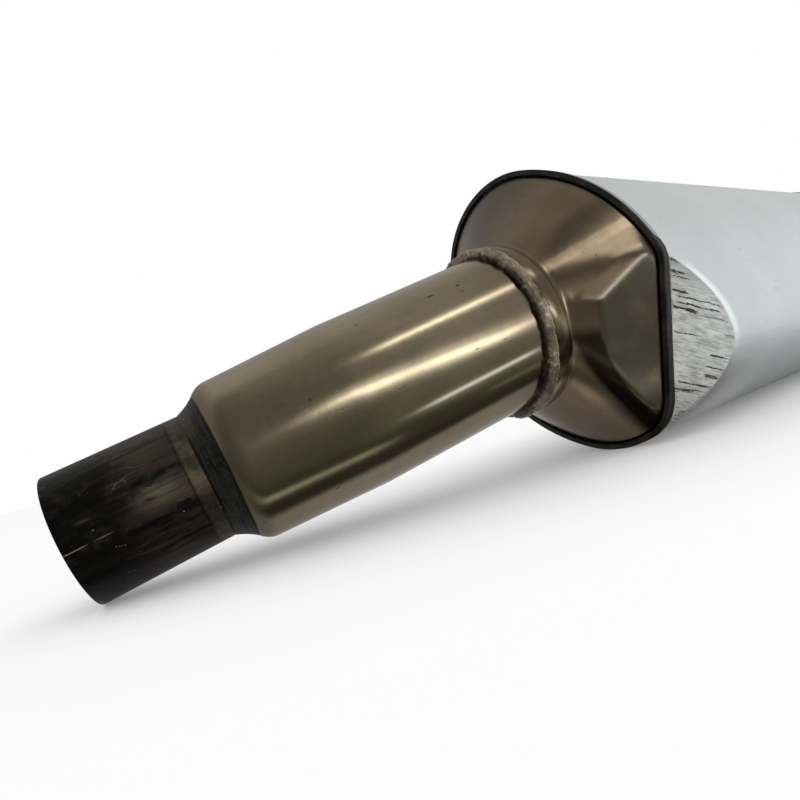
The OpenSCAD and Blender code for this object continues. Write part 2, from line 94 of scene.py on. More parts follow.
# Weld bead: steps round the neck, and how many slow, quick and fine lumps go round
BEAD_STEPS = 260
LUMPS_ROUND = (24, 90, 400)

# Distance at which vertices merge, least angle of a rounded edge in degrees, and roundings
MERGE_GAP = 1e-6
BEVEL_FROM = 40
BAND_ROUND = 0.0005
TAIL_ROUND = 0.0002

# Nicks on the barrel: place along in mm, lean in degrees, half length and half width in metres
BARREL_NICKS = (
    (127, -36, 0.0022, 0.0007),
    (132, -20, 0.0012, 0.0006),
    (167, -16, 0.0034, 0.001),
    (181, -15, 0.0016, 0.0011),
    (180, -8, 0.001, 0.0007),
    (99, 15, 0.0006, 0.0014),
    (65, 77, 0.0018, 0.0006),
    (96, 76, 0.0016, 0.0006),
    (144, 60, 0.0009, 0.0004),
)

# Black blobs and bright specks on the pipe, given in the same way
PIPE_BLOBS = ((41.6, 40, 0.0034, 0.0036), (44.5, 39, 0.002, 0.0024))
PIPE_SPOTS = (
    (41.3, 45.6, 0.0006, 0.0005),
    (16.2, 46.5, 0.0004, 0.0004),
    (17.1, 47.4, 0.0004, 0.0004),
    (18.0, 48.0, 0.0004, 0.0004),
    (18.9, 48.6, 0.0004, 0.0004),
    (15.2, 73.2, 0.0004, 0.0004),
    (16.3, 74.0, 0.0005, 0.0004),
    (17.3, 74.4, 0.0004, 0.0004),
    (12.1, 27.5, 0.0007, 0.0004),
)

# Black smears over the ground flat: middle and half width across, start and end along, all
# in mm, and weight. Each one has a fainter fringe, and the core takes this share of its width
CORE_SHARE = 0.38
FLAT_SMEARS = (
    (-18.5, 1.4, 3, 9, 0.8),
    (-13.6, 1.1, 3, 13, 0.9),
    (-11.4, 0.8, 4, 14, 0.7),
    (-5.2, 1.3, 4, 13, 1.1),
    (-3.0, 0.7, 6, 34, 0.8),
    (-0.2, 0.9, 6, 31, 0.8),
    (2.2, 1.3, 4, 18, 1.1),
    (3.2, 0.6, 14, 36, 0.6),
    (13.4, 0.6, 4, 20, 0.75),
    (21.0, 0.6, 25, 36, 0.9),
    (26.8, 0.8, 22, 34, 0.8),
    (31.0, 1.8, 21, 31, 0.8),
    (36.2, 0.9, 5, 26, 0.9),
    (39.6, 1.2, 3, 15, 1.0),
)

# Inner nodes that are made of one steel sheet
SHEET_NODES = (
    "catalyst_jacket",
    "catalyst_front_ring",
    "catalyst_rear_ring",
    "inner_shell",
    "front_baffle",
    "rear_baffle",
    "transfer_tube_upper",
    "transfer_tube_lower",
)

WHITE = (1, 1, 1, 1)
TABLE_HALF = 4.0
TABLE_MIDDLE = 0.3

# Tones of the table top as metal shows it: depth in mm, tone, and the share of blue in it.
# Depth is Y with the slant of the barrel taken off, and the ramp spans 1 / RAMP_SCALE metres
TABLE_SLANT = 0.38
RAMP_SCALE = 5
TABLE_TONES = (
    (-150, 0.22, 0.8),
    (-75, 0.22, 0.8),
    (-62, 0.1, 0.7),
    (-42, 0.08, 0.7),
    (-38, 0.03, 0.6),
    (-27, 0.03, 0.6),
    (-21, 0.85, 0.95),
    (0, 0.9, 0.97),
)

# Pale streaks on the table top that only metal shows: slant of the streak, its Y at X = 0,
# half width, the X where it starts to fade in and where it is full, weight, colour
TABLE_STREAKS = (
    (0.46, -0.04, 0.0062, 0.13, 0.1, 1.0, (1, 0.98, 0.86, 1)),
    (0.615, -0.0574, 0.02, 0.12, 0.15, 1.0, WHITE),
    (0.44, -0.0455, 0.006, 0.165, 0.19, 0.7, (0.9, 0.9, 0.75, 1)),
)

# Strip lamps: the point that they face, the way of their long sides, and their colour
STRIP_TARGET = (0.13, -0.05, 0.03)
SIDE_SPIN, TOP_SPIN = (0.75, -0.14, -0.34), (0.29, -0.04, -0.02)
WARM = (1.0, 0.98, 0.93)
TOP_GLOW_SHARE = 0.3

# Camera, fitted to the photograph
CAMERA_AT = Vector((-0.0450284, -0.2693162, 0.0197471))
CAMERA_AHEAD = Vector((0.62904, 0.777311, 0.0101526))
CAMERA_DOWN = Vector((-0.18161, 0.1596399, -0.9703194))
FOCAL_PIXELS = 620
PHOTO_PIXELS = 800


def paint(red, green, blue):
    """Linear colour of an sRGB colour that is given in steps of 0 to 255."""
    steps = (red / 255, green / 255, blue / 255)
    linear = [c / 12.92 if c < 0.04045 else ((c + 0.055) / 1.055) ** 2.4 for c in steps]
    return (*linear, 1.0)


def shade(colour, factor):
    """The colour made darker or lighter by a factor."""
    return (*(min(1.0, part * factor) for part in colour[:3]), 1.0)


class Wire:
    """A node's output. Arithmetic on it adds Math nodes to its recipe."""

    def __init__(self, recipe, socket):
        self.recipe = recipe
        self.socket = socket

    def math(self, operation, *values):
        inputs = dict(enumerate(values))
        return self.recipe.node("ShaderNodeMath", {"operation": operation}, inputs)

    def __add__(self, other):
        return self.math("ADD", self, other)

    def __radd__(self, other):
        return self.math("ADD", other, self)

    def __sub__(self, other):
        return self.math("SUBTRACT", self, other)

    def __rsub__(self, other):
        return self.math("SUBTRACT", other, self)

    def __mul__(self, other):
        return self.math("MULTIPLY", self, other)

    def __rmul__(self, other):
        return self.math("MULTIPLY", other, self)

    def __abs__(self):
        return self.math("ABSOLUTE", self)

    def between(self, low, high):
        """0 below low, 1 above high, and smooth in between. High may be the lower one."""
        return self.recipe.node(
            "ShaderNodeMapRange",
            {"interpolation_type": "SMOOTHSTEP", "clamp": True},
            {"Value": self, "From Min": low, "From Max": high},
        )

    def near(self, centre, width):
        """1 at centre, and 0 from width away."""
        return abs(self - centre).between(width, 0.0)

    def within(self, start, full, ebb, end):
        """0 up to start, 1 from full to ebb, and 0 again from end."""
        return self.between(start, full) * self.between(end, ebb)


class Recipe:
    """The nodes of one material, or of the world."""

    def __init__(self, owner):
        self.owner = owner
        owner.use_nodes = True
        self.tree = owner.node_tree
        self.tree.nodes.clear()

    def node(self, kind, settings=None, inputs=None, output=0):
        """Adds a node with its settings first and then its inputs, and returns one output."""
        made = self.tree.nodes.new(kind)
        for name, value in (settings or {}).items():
            if name == "stops":
                ramp = made.color_ramp.elements
                while len(ramp) < len(value):
                    ramp.new(0.5)
                for element, (position, colour) in zip(ramp, value):
                    element.position = position
                    element.color = colour
            else:
                setattr(made, name, value)
        for name, value in (inputs or {}).items():
            if isinstance(value, Wire):
                self.tree.links.new(value.socket, made.inputs[name])
            else:
                made.inputs[name].default_value = value
        return Wire(self, made.outputs[output])

    def place(self, at=(0, 0, 0), turn=None):
        """Object coordinates, or those of a piece's own frame with its axis along X."""
        here = self.node("ShaderNodeTexCoord", output="Object")
        if turn is None:
            return here
        return self.node(
            "ShaderNodeMapping",
            {"vector_type": "TEXTURE"},
            {"Vector": here, "Location": tuple(at), "Rotation": tuple(turn.to_euler("XYZ"))},
        )

    def stretch(self, vector, along, across, up=None):
        """The vector times along on X and across on Y. Z takes up, or across without it."""
        scale = (along, across, across if up is None else up)
        values = {"Vector": vector, "Scale": scale}
        return self.node("ShaderNodeMapping", {"vector_type": "POINT"}, values)

    def split(self, vector):
        made = self.node("ShaderNodeSeparateXYZ", inputs={"Vector": vector}).socket.node
        return [Wire(self, made.outputs[i]) for i in range(3)]

    def join(self, along, across):
        return self.node("ShaderNodeCombineXYZ", inputs={0: along, 1: across})

    def lean(self, side, up):
        """Angle about the axis in radians: 0 on the side of -Y, and rising towards the table."""
        values = {0: 0.0 - up, 1: 0.0 - side}
        return self.node("ShaderNodeMath", {"operation": "ARCTAN2"}, values)

    def noise(self, vector, scale, detail=3.0, rough=0.5, twist=0.0):
        values = {"Vector": vector, "Scale": scale, "Detail": detail, "Roughness": rough}
        values["Distortion"] = twist
        return self.node("ShaderNodeTexNoise", inputs=values)

    def hairlines(self, vector, along, across, twist, width):
        """Thin wandering scratches: where a stretched noise crosses its middle."""
        drawn = self.stretch(vector, along, across)
        return self.noise(drawn, 1.0, 1, 0.4, twist).near(0.5, width)

    def cells(self, vector, scale):
        """Distance to the nearest of many scattered points."""
        return self.node("ShaderNodeTexVoronoi", inputs={"Vector": vector, "Scale": scale})

    def marks(self, along, lean, wobble, places):
        """Small irregular marks, as the tables of nicks and spots give them."""
        total = 0.0
        for place, angle, length, width in places:
            mark = (along + wobble * length).near(place / 1000, length)
            total = mark * lean.near(math.radians(angle), width / BARREL_R) + total
        return (total + wobble * 0.5).between(0.25, 0.6)

    def blend(self, factor, first, second, mode="MIX"):
        """Second over first by factor, as colours."""
        settings = {"data_type": "RGBA", "blend_type": mode, "clamp_factor": True}
        return self.node("ShaderNodeMix", settings, {0: factor, 6: first, 7: second}, output=2)

    def ramp(self, factor, *stops):
        return self.node("ShaderNodeValToRGB", {"stops": stops}, {0: factor})

    def bump(self, height, strength, depth):
        values = {"Strength": strength, "Distance": depth, "Height": height}
        return self.node("ShaderNodeBump", inputs=values)

    def finish(self, colour, roughness, normal, metallic=1.0, shine=0.5):
        """Shows a Principled surface, and returns the material."""
        values = {"Base Color": colour, "Roughness": roughness, "Normal": normal}
        values.update({"Metallic": metallic, "Specular IOR Level": shine})
        self.show(self.node("ShaderNodeBsdfPrincipled", inputs=values))
        return self.owner

    def show(self, shader, kind="ShaderNodeOutputMaterial"):
        out = self.tree.nodes.new(kind)
        self.tree.links.new(shader.socket, out.inputs["Surface"])


def toward_corner(side, up):
    """How far a place of the can lies toward its flattened corner."""
    return side * FLAT_SIDE + up * FLAT_UP


def across_corner(side, up):
    """How far a place of the can lies across that way."""
    return up * FLAT_SIDE - side * FLAT_UP


def crease_depth(along, toward):
    """How far a place of the cap lies behind the plane of its creased corner."""
    ahead = (along + CREASE_AT[0]) * math.sin(CREASE_SLOPE)
    return ahead - (toward - CREASE_AT[1]) * math.cos(CREASE_SLOPE)


def sooted_pipe(soot, scale_tone):
    """Soot burnt on drawn tube: black, with brown and olive patches, specks and scratches."""
    r = Recipe(bpy.data.materials.new("sooted_pipe"))
    here = r.place(turn=PIPE_TURN)
    along, side, up = r.split(here)
    lean = r.lean(side, up)
    blotch = r.noise(r.stretch(here, 75, 120), 1.0, 6, 0.68, 0.8)
    streaks = r.noise(r.stretch(here, 16, 210), 1.0, 4, 0.6)
    broad = r.noise(here, 48, 3, 0.55)
    specks = r.noise(here, 1100, 2, 0.6)
    colour = r.ramp(
        blotch * 0.5 + streaks * 0.28 + broad * 0.22,
        (0.4, shade(soot, 0.3)),
        (0.48, soot),
        (0.545, shade(soot, 3.2)),
        (0.61, shade(scale_tone, 0.8)),
    )
    brown = (along + broad * 0.012).between(0.018, 0.042)
    brown = brown * (streaks * 0.75 + blotch * 0.25).between(0.43, 0.56)
    colour = r.blend(brown * 0.75, colour, paint(58, 49, 42))
    patchy = streaks * 0.6 + blotch * 0.4
    olive = lean.near(-0.3, 0.5) * along.near(0.037, 0.014) * patchy.between(0.4, 0.54)
    colour = r.blend(olive * 0.75, colour, paint(74, 66, 50))
    pale = lean.near(0.4, 0.3) * along.near(0.0355, 0.012) * patchy.between(0.4, 0.53)
    colour = r.blend(pale * 0.7, colour, paint(98, 90, 78))
    low = lean.near(1.15, 0.3) * along.near(0.034, 0.011) * streaks.between(0.42, 0.56)
    colour = r.blend(low * 0.6, colour, paint(66, 58, 46))
    mouth = along.between(0.028, 0.006) * blotch.between(0.66, 0.46)
    colour = r.blend(mouth * 0.9, colour, shade(soot, 0.5))
    hair = r.hairlines(here, 30, 85, 0.9, 0.006) * broad.between(0.46, 0.58)
    colour = r.blend(hair * 0.55, colour, paint(112, 102, 88))
    dots = r.cells(here, 620).between(0.17, 0.08) * r.noise(here, 90, 2).between(0.54, 0.62)
    colour = r.blend(dots * 0.4, colour, paint(118, 106, 96))

    bare = r.ramp(
        blotch * 0.6 + specks * 0.25 + streaks * 0.15,
        (0.38, shade(scale_tone, 0.3)),
        (0.5, shade(scale_tone, 0.52)),
        (0.62, shade(scale_tone, 1.1)),
    )
    arcs = r.hairlines(here, 240, 60, 1.2, 0.008)
    bare = r.blend(arcs * 0.5, bare, shade(scale_tone, 2.2))
    ring = (along + specks * 0.0014 - 0.0007).between(SLIP_END - 0.0005, SLIP_END + 0.0006)
    colour = r.blend(ring * 0.92, colour, bare)
    rim = along.near(SLIP_END, 0.0011) * specks.between(0.3, 0.5)
    colour = r.blend(rim * 0.85, colour, shade(soot, 0.4))

    blob = r.marks(along, lean, specks - 0.5, PIPE_BLOBS)
    colour = r.blend(blob, colour, shade(soot, 0.15))
    spots = r.marks(along, lean, specks - 0.5, PIPE_SPOTS)
    line = (lean + streaks * 0.04 + blotch * 0.03).near(0.655, 0.012)
    bright = line * along.between(0.0095, 0.006)
    faint = line * along.near(0.0145, 0.0045) * blotch.between(0.4, 0.5)
    scratch = bright * 0.85 + faint * 0.5
    colour = r.blend(scratch + spots * 0.6, colour, paint(186, 166, 154))
    height = blotch * 0.7 + streaks * 0.25 + specks * 0.15
    height = height - scratch * 0.5 - hair * 0.12 + blob * 0.4
    roughness = 0.3 + blotch * 0.26 - scratch * 0.1 - blob * 0.2
    normal = r.bump(height, 0.45, 0.0004)
    return r.finish(colour, roughness, normal, metallic=0.6 - blob * 0.5, shine=0.4)


def dark_weld(slate):
    """Weld on the pipe: slate black, with grooves that run round it and black edges."""
    r = Recipe(bpy.data.materials.new("dark_weld"))
    here = r.place(turn=PIPE_TURN)
    along, side, up = r.split(here)
    lean = r.lean(side, up)
    grooves = r.noise(r.join(along * 1300, lean * 2.4), 1.0, 4, 0.6, 0.3)
    patches = r.noise(here, 110, 4, 0.6)
    colour = r.ramp(
        grooves * 0.55 + patches * 0.45,
        (0.36, shade(slate, 0.25)),
        (0.48, shade(slate, 0.8)),
        (0.58, shade(slate, 1.6)),
        (0.7, shade(slate, 3.2)),
    )
    top = lean.between(0.2, -0.5) * along.between(0.0595, 0.056)
    colour = r.blend(top * 0.85, colour, paint(84, 76, 66))
    wander = patches * 0.0026 - 0.0013
    front = (along + wander).near(WELD_START + 0.0002, 0.0009) * lean.between(-0.5, 0.25)
    edges = front + (along + wander).near(BARREL_START, 0.0012)
    colour = r.blend(edges * 0.9, colour, shade(slate, 0.15))
    grit = r.noise(here, 900, 2, 0.6)
    colour = r.blend(grit.between(0.6, 0.7) * 0.5, colour, shade(slate, 4.0))
    height = grooves + patches * 0.4 + grit * 0.2 - edges * 0.6
    normal = r.bump(height, 0.7, 0.0005)
    return r.finish(colour, 0.44 + patches * 0.15, normal, metallic=0.75)


def browned_steel(name, tone, turn, at, grain):
    """Stainless steel browned by heat and rubbed along the piece, with a few black pits.

    Returns the recipe and its place, then what the caller's finish goes on with.
    """
    r = Recipe(bpy.data.materials.new(name))
    here = r.place(at, turn)
    cloud = r.noise(here, 19, 4, 0.55, 0.4)
    rubbed = r.noise(r.stretch(here, *grain), 1.0, 4, 0.6)
    mottle = r.noise(here, 260, 3, 0.65)
    colour = r.ramp(
        cloud * 0.55 + rubbed * 0.3 + mottle * 0.15,
        (0.36, shade(tone, 0.76)),
        (0.5, tone),
        (0.64, shade(tone, 1.2)),
    )
    crooked = r.noise(here, 500, 2, 0.6)
    sparse = r.noise(here, 43, 2, 0.5)
    pits = (r.cells(here, 360) + crooked * 0.16).between(0.2, 0.12) * sparse.between(0.57, 0.62)
    dashes = (r.cells(r.stretch(here, 110, 330, 420), 1.0) + crooked * 0.14).between(0.19, 0.12)
    dashes = dashes * r.noise(here, 37, 2, 0.5).between(0.6, 0.64)
    colour = r.blend(pits * 0.75, colour, shade(tone, 0.12))
    colour = r.blend(dashes * 0.7, colour, shade(tone, 0.1))
    return r, here, colour, rubbed, mottle, pits + dashes


def barrel_steel(tone):
    """Barrel: bronze and olive steel with a polish, with dark nicks, tints beside the bead, a
    painted dark reflection on the nose and a painted highlight line.
    """
    steel = browned_steel("barrel_steel", tone, PIPE_TURN, (0, 0, 0), (5, 75))
    r, here, colour, rubbed, mottle, pits = steel
    along, side, up = r.split(here)
    lean = r.lean(side, up)
    nicks = r.marks(along, lean, mottle - 0.5, BARREL_NICKS)
    colour = r.blend(nicks * 0.8, colour, shade(tone, 0.12))
    # Painted dark olive reflection on the rounded nose, which is also made rougher below
    nose = along.between(0.0705, 0.0635)
    colour = r.blend(nose * 0.55, colour, paint(104, 98, 80))
    seam = (along + mottle * 0.0006).near(BARREL_START + 0.0002, 0.0009)
    colour = r.blend(seam * 0.9, colour, paint(20, 19, 17))
    colour = r.blend(lean.near(0.95, 0.45) * 0.25, colour, paint(138, 138, 100))
    colour = r.blend(along.between(0.184, 0.198) * 0.3, colour, paint(150, 126, 118))
    colour = r.blend(along.between(0.2005, 0.2035) * 0.6, colour, paint(60, 54, 50))
    # Painted highlight: a bright reflection line along the low side of the barrel
    painted_highlight_line = lean.near(0.873, 0.042) * along.within(0.122, 0.15, 0.188, 0.203)
    colour = r.blend(painted_highlight_line * 0.85, colour, paint(244, 240, 226))
    height = rubbed * 0.5 + mottle * 0.08 - pits * 0.6 - nicks * 0.7
    roughness = 0.13 + rubbed * 0.07 + mottle * 0.03 + pits * 0.2 + nose * 0.22
    return r.finish(colour, roughness, r.bump(height, 0.1, 0.0003))


def cap_steel(tone):
    """End caps: satin pressed steel of a browner bronze, cooler on the creased corner."""
    steel = browned_steel("cap_steel", tone, CAN_TURN, CAN_AT, (26, 48))
    r, here, colour, rubbed, mottle, pits = steel
    along, side, up = r.split(here)
    toward, across = toward_corner(side, up), across_corner(side, up)
    inward = crease_depth(along, toward)
    corner = inward.between(0.0021, 0.0014) * r.noise(here, 60, 3, 0.5).between(0.25, 0.5)
    colour = r.blend(corner * 0.7, colour, paint(100, 98, 92))

    # Painted dark reflection in a wedge, and a pale patch, between the neck and the lower crease
    painted_wedge_reflection = (inward + mottle * 0.0004).between(0.0016, 0.0024)
    painted_wedge_reflection = painted_wedge_reflection * (inward - across * 0.03).between(0.0068, 0.0048)
    painted_wedge_reflection = painted_wedge_reflection * (across + mottle * 0.002).between(0.007, 0.014)
    colour = r.blend(painted_wedge_reflection * 0.9, colour, shade(tone, 0.08))
    pale = inward.within(0.0062, 0.0085, 0.011, 0.017) * across.within(0.016, 0.024, 0.038, 0.05)
    colour = r.blend(pale * 0.9, colour, paint(226, 204, 168))

    # Painted shade on both sides of the bright streak along the upper crease
    ridge = across + toward * 0.83 + mottle * 0.002
    dim = ridge.within(-0.03, -0.016, -0.005, -0.0015)
    dim = dim + ridge.within(0.003, 0.006, 0.012, 0.024) * 0.55
    colour = r.blend(dim * toward.between(0.016, 0.024) * 0.75, colour, shade(tone, 0.4))
    crowd = toward.near(0.031, 0.012) * across.near(-0.027, 0.016)
    grit = (r.cells(here, 430) + mottle * 0.14).between(0.3, 0.22)
    grit = grit * crowd.between(0.1, 0.4) * r.noise(here, 75, 2).between(0.47, 0.53)
    colour = r.blend(grit * 0.7, colour, shade(tone, 0.15))

    # Painted shade: the cap darker away from its creased corner and over one side
    painted_far_shade = (toward + mottle * 0.004).between(0.012, -0.03)
    colour = r.blend(painted_far_shade * 0.85, colour, shade(tone, 0.2))
    below = (side + mottle * 0.004).between(-0.03, 0.05) * toward.between(-0.01, 0.012)
    colour = r.blend(below * 0.6, colour, shade(tone, 0.42))
    scuffs = r.noise(r.stretch(here, 340, 60), 1.0, 3, 0.7)
    height = rubbed * 0.4 + scuffs * 0.2 + mottle * 0.15 - pits * 0.6
    roughness = 0.17 + rubbed * 0.08 + scuffs * 0.05 + pits * 0.2
    return r.finish(colour, roughness, r.bump(height, 0.14, 0.0003))


def bead_steel(tone):
    """Weld beads: brown grey, with painted glints on bright speckles and along the ridge, and
    burnt dark hollows.
    """
    r = Recipe(bpy.data.materials.new("bead_steel"))
    here = r.place(NECK_AT, NECK_TURN)
    along = r.split(here)[0]
    drops = r.noise(here, 560, 4, 0.75)
    cloud = r.noise(here, 95, 3, 0.55)
    colour = r.ramp(
        drops * 0.35 + cloud * 0.65,
        (0.38, shade(tone, 0.45)),
        (0.47, shade(tone, 0.9)),
        (0.56, shade(tone, 1.3)),
        (0.66, shade(tone, 2.1)),
    )
    # Painted glints: bright speckles, made less metallic so that the lamps light them
    glint = drops.between(0.56, 0.66) * cloud.between(0.44, 0.56)
    colour = r.blend(glint * 0.9, colour, paint(226, 218, 202))
    # Painted glint along the ridge of the bead
    ridge = (along + cloud * 0.002 + drops * 0.0004).near(0.0047, 0.0004)
    ridge = ridge * r.noise(here, 45, 2).between(0.36, 0.5)
    colour = r.blend(ridge * 0.9, colour, paint(236, 228, 212))
    burnt = (along + drops * 0.001).between(0.0006, -0.0002)
    colour = r.blend(burnt * 0.85, colour, shade(tone, 0.1))
    roughness = 0.26 + cloud * 0.2 - glint * 0.08 - ridge * 0.08
    normal = r.bump(drops * 0.7 + cloud + ridge * 0.6, 0.6, 0.0007)
    return r.finish(colour, roughness, normal, metallic=0.7 - glint * 0.2 - ridge * 0.3)


def black_paint(black, metal):
    """Rough black paint on the end bands, brown inside and chipped to the metal outside."""
    r = Recipe(bpy.data.materials.new("black_paint"))
    here = r.place(CAN_AT, CAN_TURN)
    along, side, up = r.split(here)
    flat = toward_corner(side, up).between(0.0535, 0.056)
    grit = r.noise(here, 620, 4, 0.7)
    patches = r.noise(here, 90, 4, 0.62)
    colour = r.ramp(
        grit * 0.45 + patches * 0.55,
        (0.4, shade(black, 0.3)),
        (0.56, shade(black, 0.9)),
        (0.7, paint(62, 54, 50)),
    )
    rubbed = (along + grit * 0.001).between(0.0, -0.0012) * patches.between(0.4, 0.6)
    colour = r.blend(rubbed * 0.7, colour, paint(58, 47, 42))
    inward = CAN_MIDDLE - abs(along - CAN_MIDDLE) - flat * 0.003
    chipped = inward + (grit - 0.5) * 0.0012 + (patches - 0.5) * 0.001
    chipped = chipped.between(-0.0008, -0.0004)
    colour = r.blend(chipped, colour, shade(metal, 0.6))
    normal = r.bump(grit + patches - chipped * 0.5, 0.6, 0.0006)
    return r.finish(colour, 0.42 + patches * 0.22, normal, metallic=chipped * 0.8, shine=0.4)


def satin_aluminium(tone):
    """Sleeve: satin aluminium, and its flat corner ground dull with black smears."""
    r = Recipe(bpy.data.materials.new("satin_aluminium"))
    here = r.place(CAN_AT, CAN_TURN)
    along, side, up = r.split(here)
    toward, across = toward_corner(side, up), across_corner(side, up)
    above = toward * math.cos(FLAT_SLOPE) - along * math.sin(FLAT_SLOPE) - FLAT_LEVEL
    satin = r.noise(r.stretch(here, 22, 1500), 1.0, 2, 0.5)
    cloud = r.noise(here, 14, 3, 0.5)
    speck = r.noise(here, 520, 3, 0.6)
    colour = r.ramp(cloud * 0.8 + speck * 0.2, (0.35, shade(tone, 0.9)), (0.65, shade(tone, 1.06)))
    hair = r.hairlines(here, 26, 40, 0.6, 0.004) * r.noise(here, 24, 2).between(0.54, 0.62)
    nicks = r.cells(here, 120).between(0.07, 0.035) * cloud.between(0.44, 0.54)
    colour = r.blend(hair * 0.35 + nicks * 0.7, colour, shade(tone, 0.35))

    # Where the sleeve is ground: on the flat corner, and at its low end up to the band
    ragged = (speck - 0.5) * 0.0006
    ground = (above + ragged).between(-0.00042, -0.00012) * along.between(0.1, 0.09)
    low_end = (across + along * 0.938 + ragged).between(0.0696, 0.069)
    low_end = low_end * (across + along * 0.4 + ragged).between(0.0602, 0.0597)
    low_end = low_end * across.between(0.038, 0.04) * toward.between(0.02, 0.03)
    ground = (low_end + ground).between(0.0, 1.0)

    # Grinding marks and smears run a little askew to the can
    slant = across - along * 0.3
    brushed = r.noise(r.join(along * 90, slant * 1500), 1.0, 4, 0.65)
    blots = r.noise(r.join(along * 110, slant * 230), 1.0, 5, 0.65, 0.4)
    grains = r.noise(r.join(along * 700, slant * 1300), 1.0, 3, 0.7)
    rubbed = r.ramp(
        brushed * 0.55 + blots * 0.45,
        (0.36, paint(132, 134, 134)),
        (0.48, paint(188, 191, 191)),
        (0.6, paint(220, 223, 224)),
    )
    bristles = brushed.between(0.5, 0.62)
    core_line = slant + (blots - 0.5) * 0.0022
    fringe_line = slant + (blots - 0.5) * 0.003
    smears = 0.0
    for *lengths, weight in FLAT_SMEARS:
        middle, width, start, end = (length / 1000 for length in lengths)
        core = core_line.near(middle, width)
        core = core * along.within(start - 0.002, start + 0.001, end - 0.004, end + 0.003)
        fringe = fringe_line.near(middle, width / CORE_SHARE)
        fringe = fringe * along.within(start - 0.002, start + 0.002, end - 0.002, end + 0.004)
        smears = core * weight + smears
        smears = fringe * bristles * (weight * 0.55) + smears
    smears = smears * blots.between(0.2, 0.52) + (brushed - 0.5) * 1.1 + (grains - 0.5) * 1.5
    smears = smears.between(0.34, 0.8)
    shaded = slant.between(-0.003, -0.016) * blots.between(0.4, 0.56)
    rubbed = r.blend(shaded * 0.5, rubbed, paint(112, 114, 114))
    torn = slant.between(0.034, 0.04) * (brushed * 0.5 + blots * 0.5).between(0.5, 0.58)
    dark = smears + torn * 0.75
    rubbed = r.blend(dark, rubbed, paint(40, 41, 41))
    dull = (along + (blots - 0.5) * 0.0025).between(0.0042, 0.0032) * slant.between(0.012, 0.002)
    rubbed = r.blend(dull * 0.75, rubbed, paint(126, 131, 127))
    ticks = (along + (speck - 0.5) * 0.006).between(0.0012, 0.0002) * blots.between(0.5, 0.6)
    rubbed = r.blend(ticks * 0.9, rubbed, paint(16, 15, 15))
    burr = above.near(-0.0011, 0.0017) * across.between(0.034, 0.012)
    burr = burr * along.within(0.008, 0.022, 0.06, 0.07)
    colour = r.blend(burr * 0.9, colour, paint(248, 249, 252))
    colour = r.blend(ground, colour, rubbed)
    height = satin * 0.35 + speck * 0.2 - hair * 0.3 - nicks
    height = height + ground * (brushed * 0.8 + blots * 0.6 - dark * 0.5)
    roughness = 0.34 + cloud * 0.1 + ground * 0.18 - burr * 0.08
    normal = r.bump(height, 0.2, 0.0003)
    return r.finish(colour, roughness, normal, metallic=1.0 - ground * 0.7 - burr * 0.4)


def plain_metal(name, tone, roughness):
    """A plain drawn or rolled metal with soft clouds and fine grain."""
    r = Recipe(bpy.data.materials.new(name))
    here = r.place(CAN_AT, CAN_TURN)
    grain = r.noise(r.stretch(here, 30, 900), 1.0, 3, 0.6)
    cloud = r.noise(here, 40, 4, 0.6)
    tones = (0.35, shade(tone, 0.72)), (0.65, shade(tone, 1.25))
    colour = r.ramp(cloud * 0.7 + grain * 0.3, *tones)
    return r.finish(colour, roughness + cloud * 0.15, r.bump(grain, 0.2, 0.0003))


def soft_stuff(name, tone, scale, roughness):
    """Rubber or glass wool: a matt surface with a fine uneven skin."""
    r = Recipe(bpy.data.materials.new(name))
    skin = r.noise(r.place(), scale, 5, 0.7)
    colour = r.ramp(skin, (0.35, shade(tone, 0.6)), (0.65, shade(tone, 1.4)))
    normal = r.bump(skin, 0.5, 0.0005)
    return r.finish(colour, roughness + skin * 0.1, normal, metallic=0.0)


def to_mesh(shape, name):
    """Mesh of a finished shape, with smooth faces."""
    mesh = bpy.data.meshes.new(name)
    shape.to_mesh(mesh)
    shape.free()
    mesh.shade_smooth()
    return mesh


def put(name, data):
    """New object in the scene."""
    made = bpy.data.objects.new(name, data)
    bpy.context.scene.collection.objects.link(made)
    return made


def as_piece(mesh, name, material, replaced):
    """Shows a mesh as a piece that stands for its CAD nodes."""
    piece = put(name, mesh)
    mesh.materials.append(material)
    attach(piece, "root")
    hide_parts(*replaced)
    return piece


def smooth_copy(node, name, material, bevel=0.0, sharp=28.0):
    """Merged copy of a CAD node with smooth faces, sharp edges kept and rounded a little."""
    shape = bmesh.new()
    shape.from_mesh(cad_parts[node].data)
    bmesh.ops.remove_doubles(shape, verts=shape.verts, dist=MERGE_GAP)
    mesh = to_mesh(shape, name)
    mesh.set_sharp_from_angle(angle=math.radians(sharp))
    piece = as_piece(mesh, name, material, [node])
    if bevel > 0:
        rounding = piece.modifiers.new("edge", "BEVEL")
        rounding.width = bevel
        rounding.segments = 2
        rounding.limit_method = "ANGLE"
        rounding.angle_limit = math.radians(max(sharp, BEVEL_FROM))
        rounding.harden_normals = False


def give(node, material):
    """A CAD node keeps its own mesh and gets a finish."""
    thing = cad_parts[node]
    thing.data.materials.clear()
    thing.data.materials.append(material)


def reach_in(tree, centre, way, far=0.14):
    """Point of a surface that is met first from outside, on the way back to the centre."""
    hit = tree.ray_cast(centre + way * far, -way, far)[0]
    return hit if hit else centre + way * BARREL_R


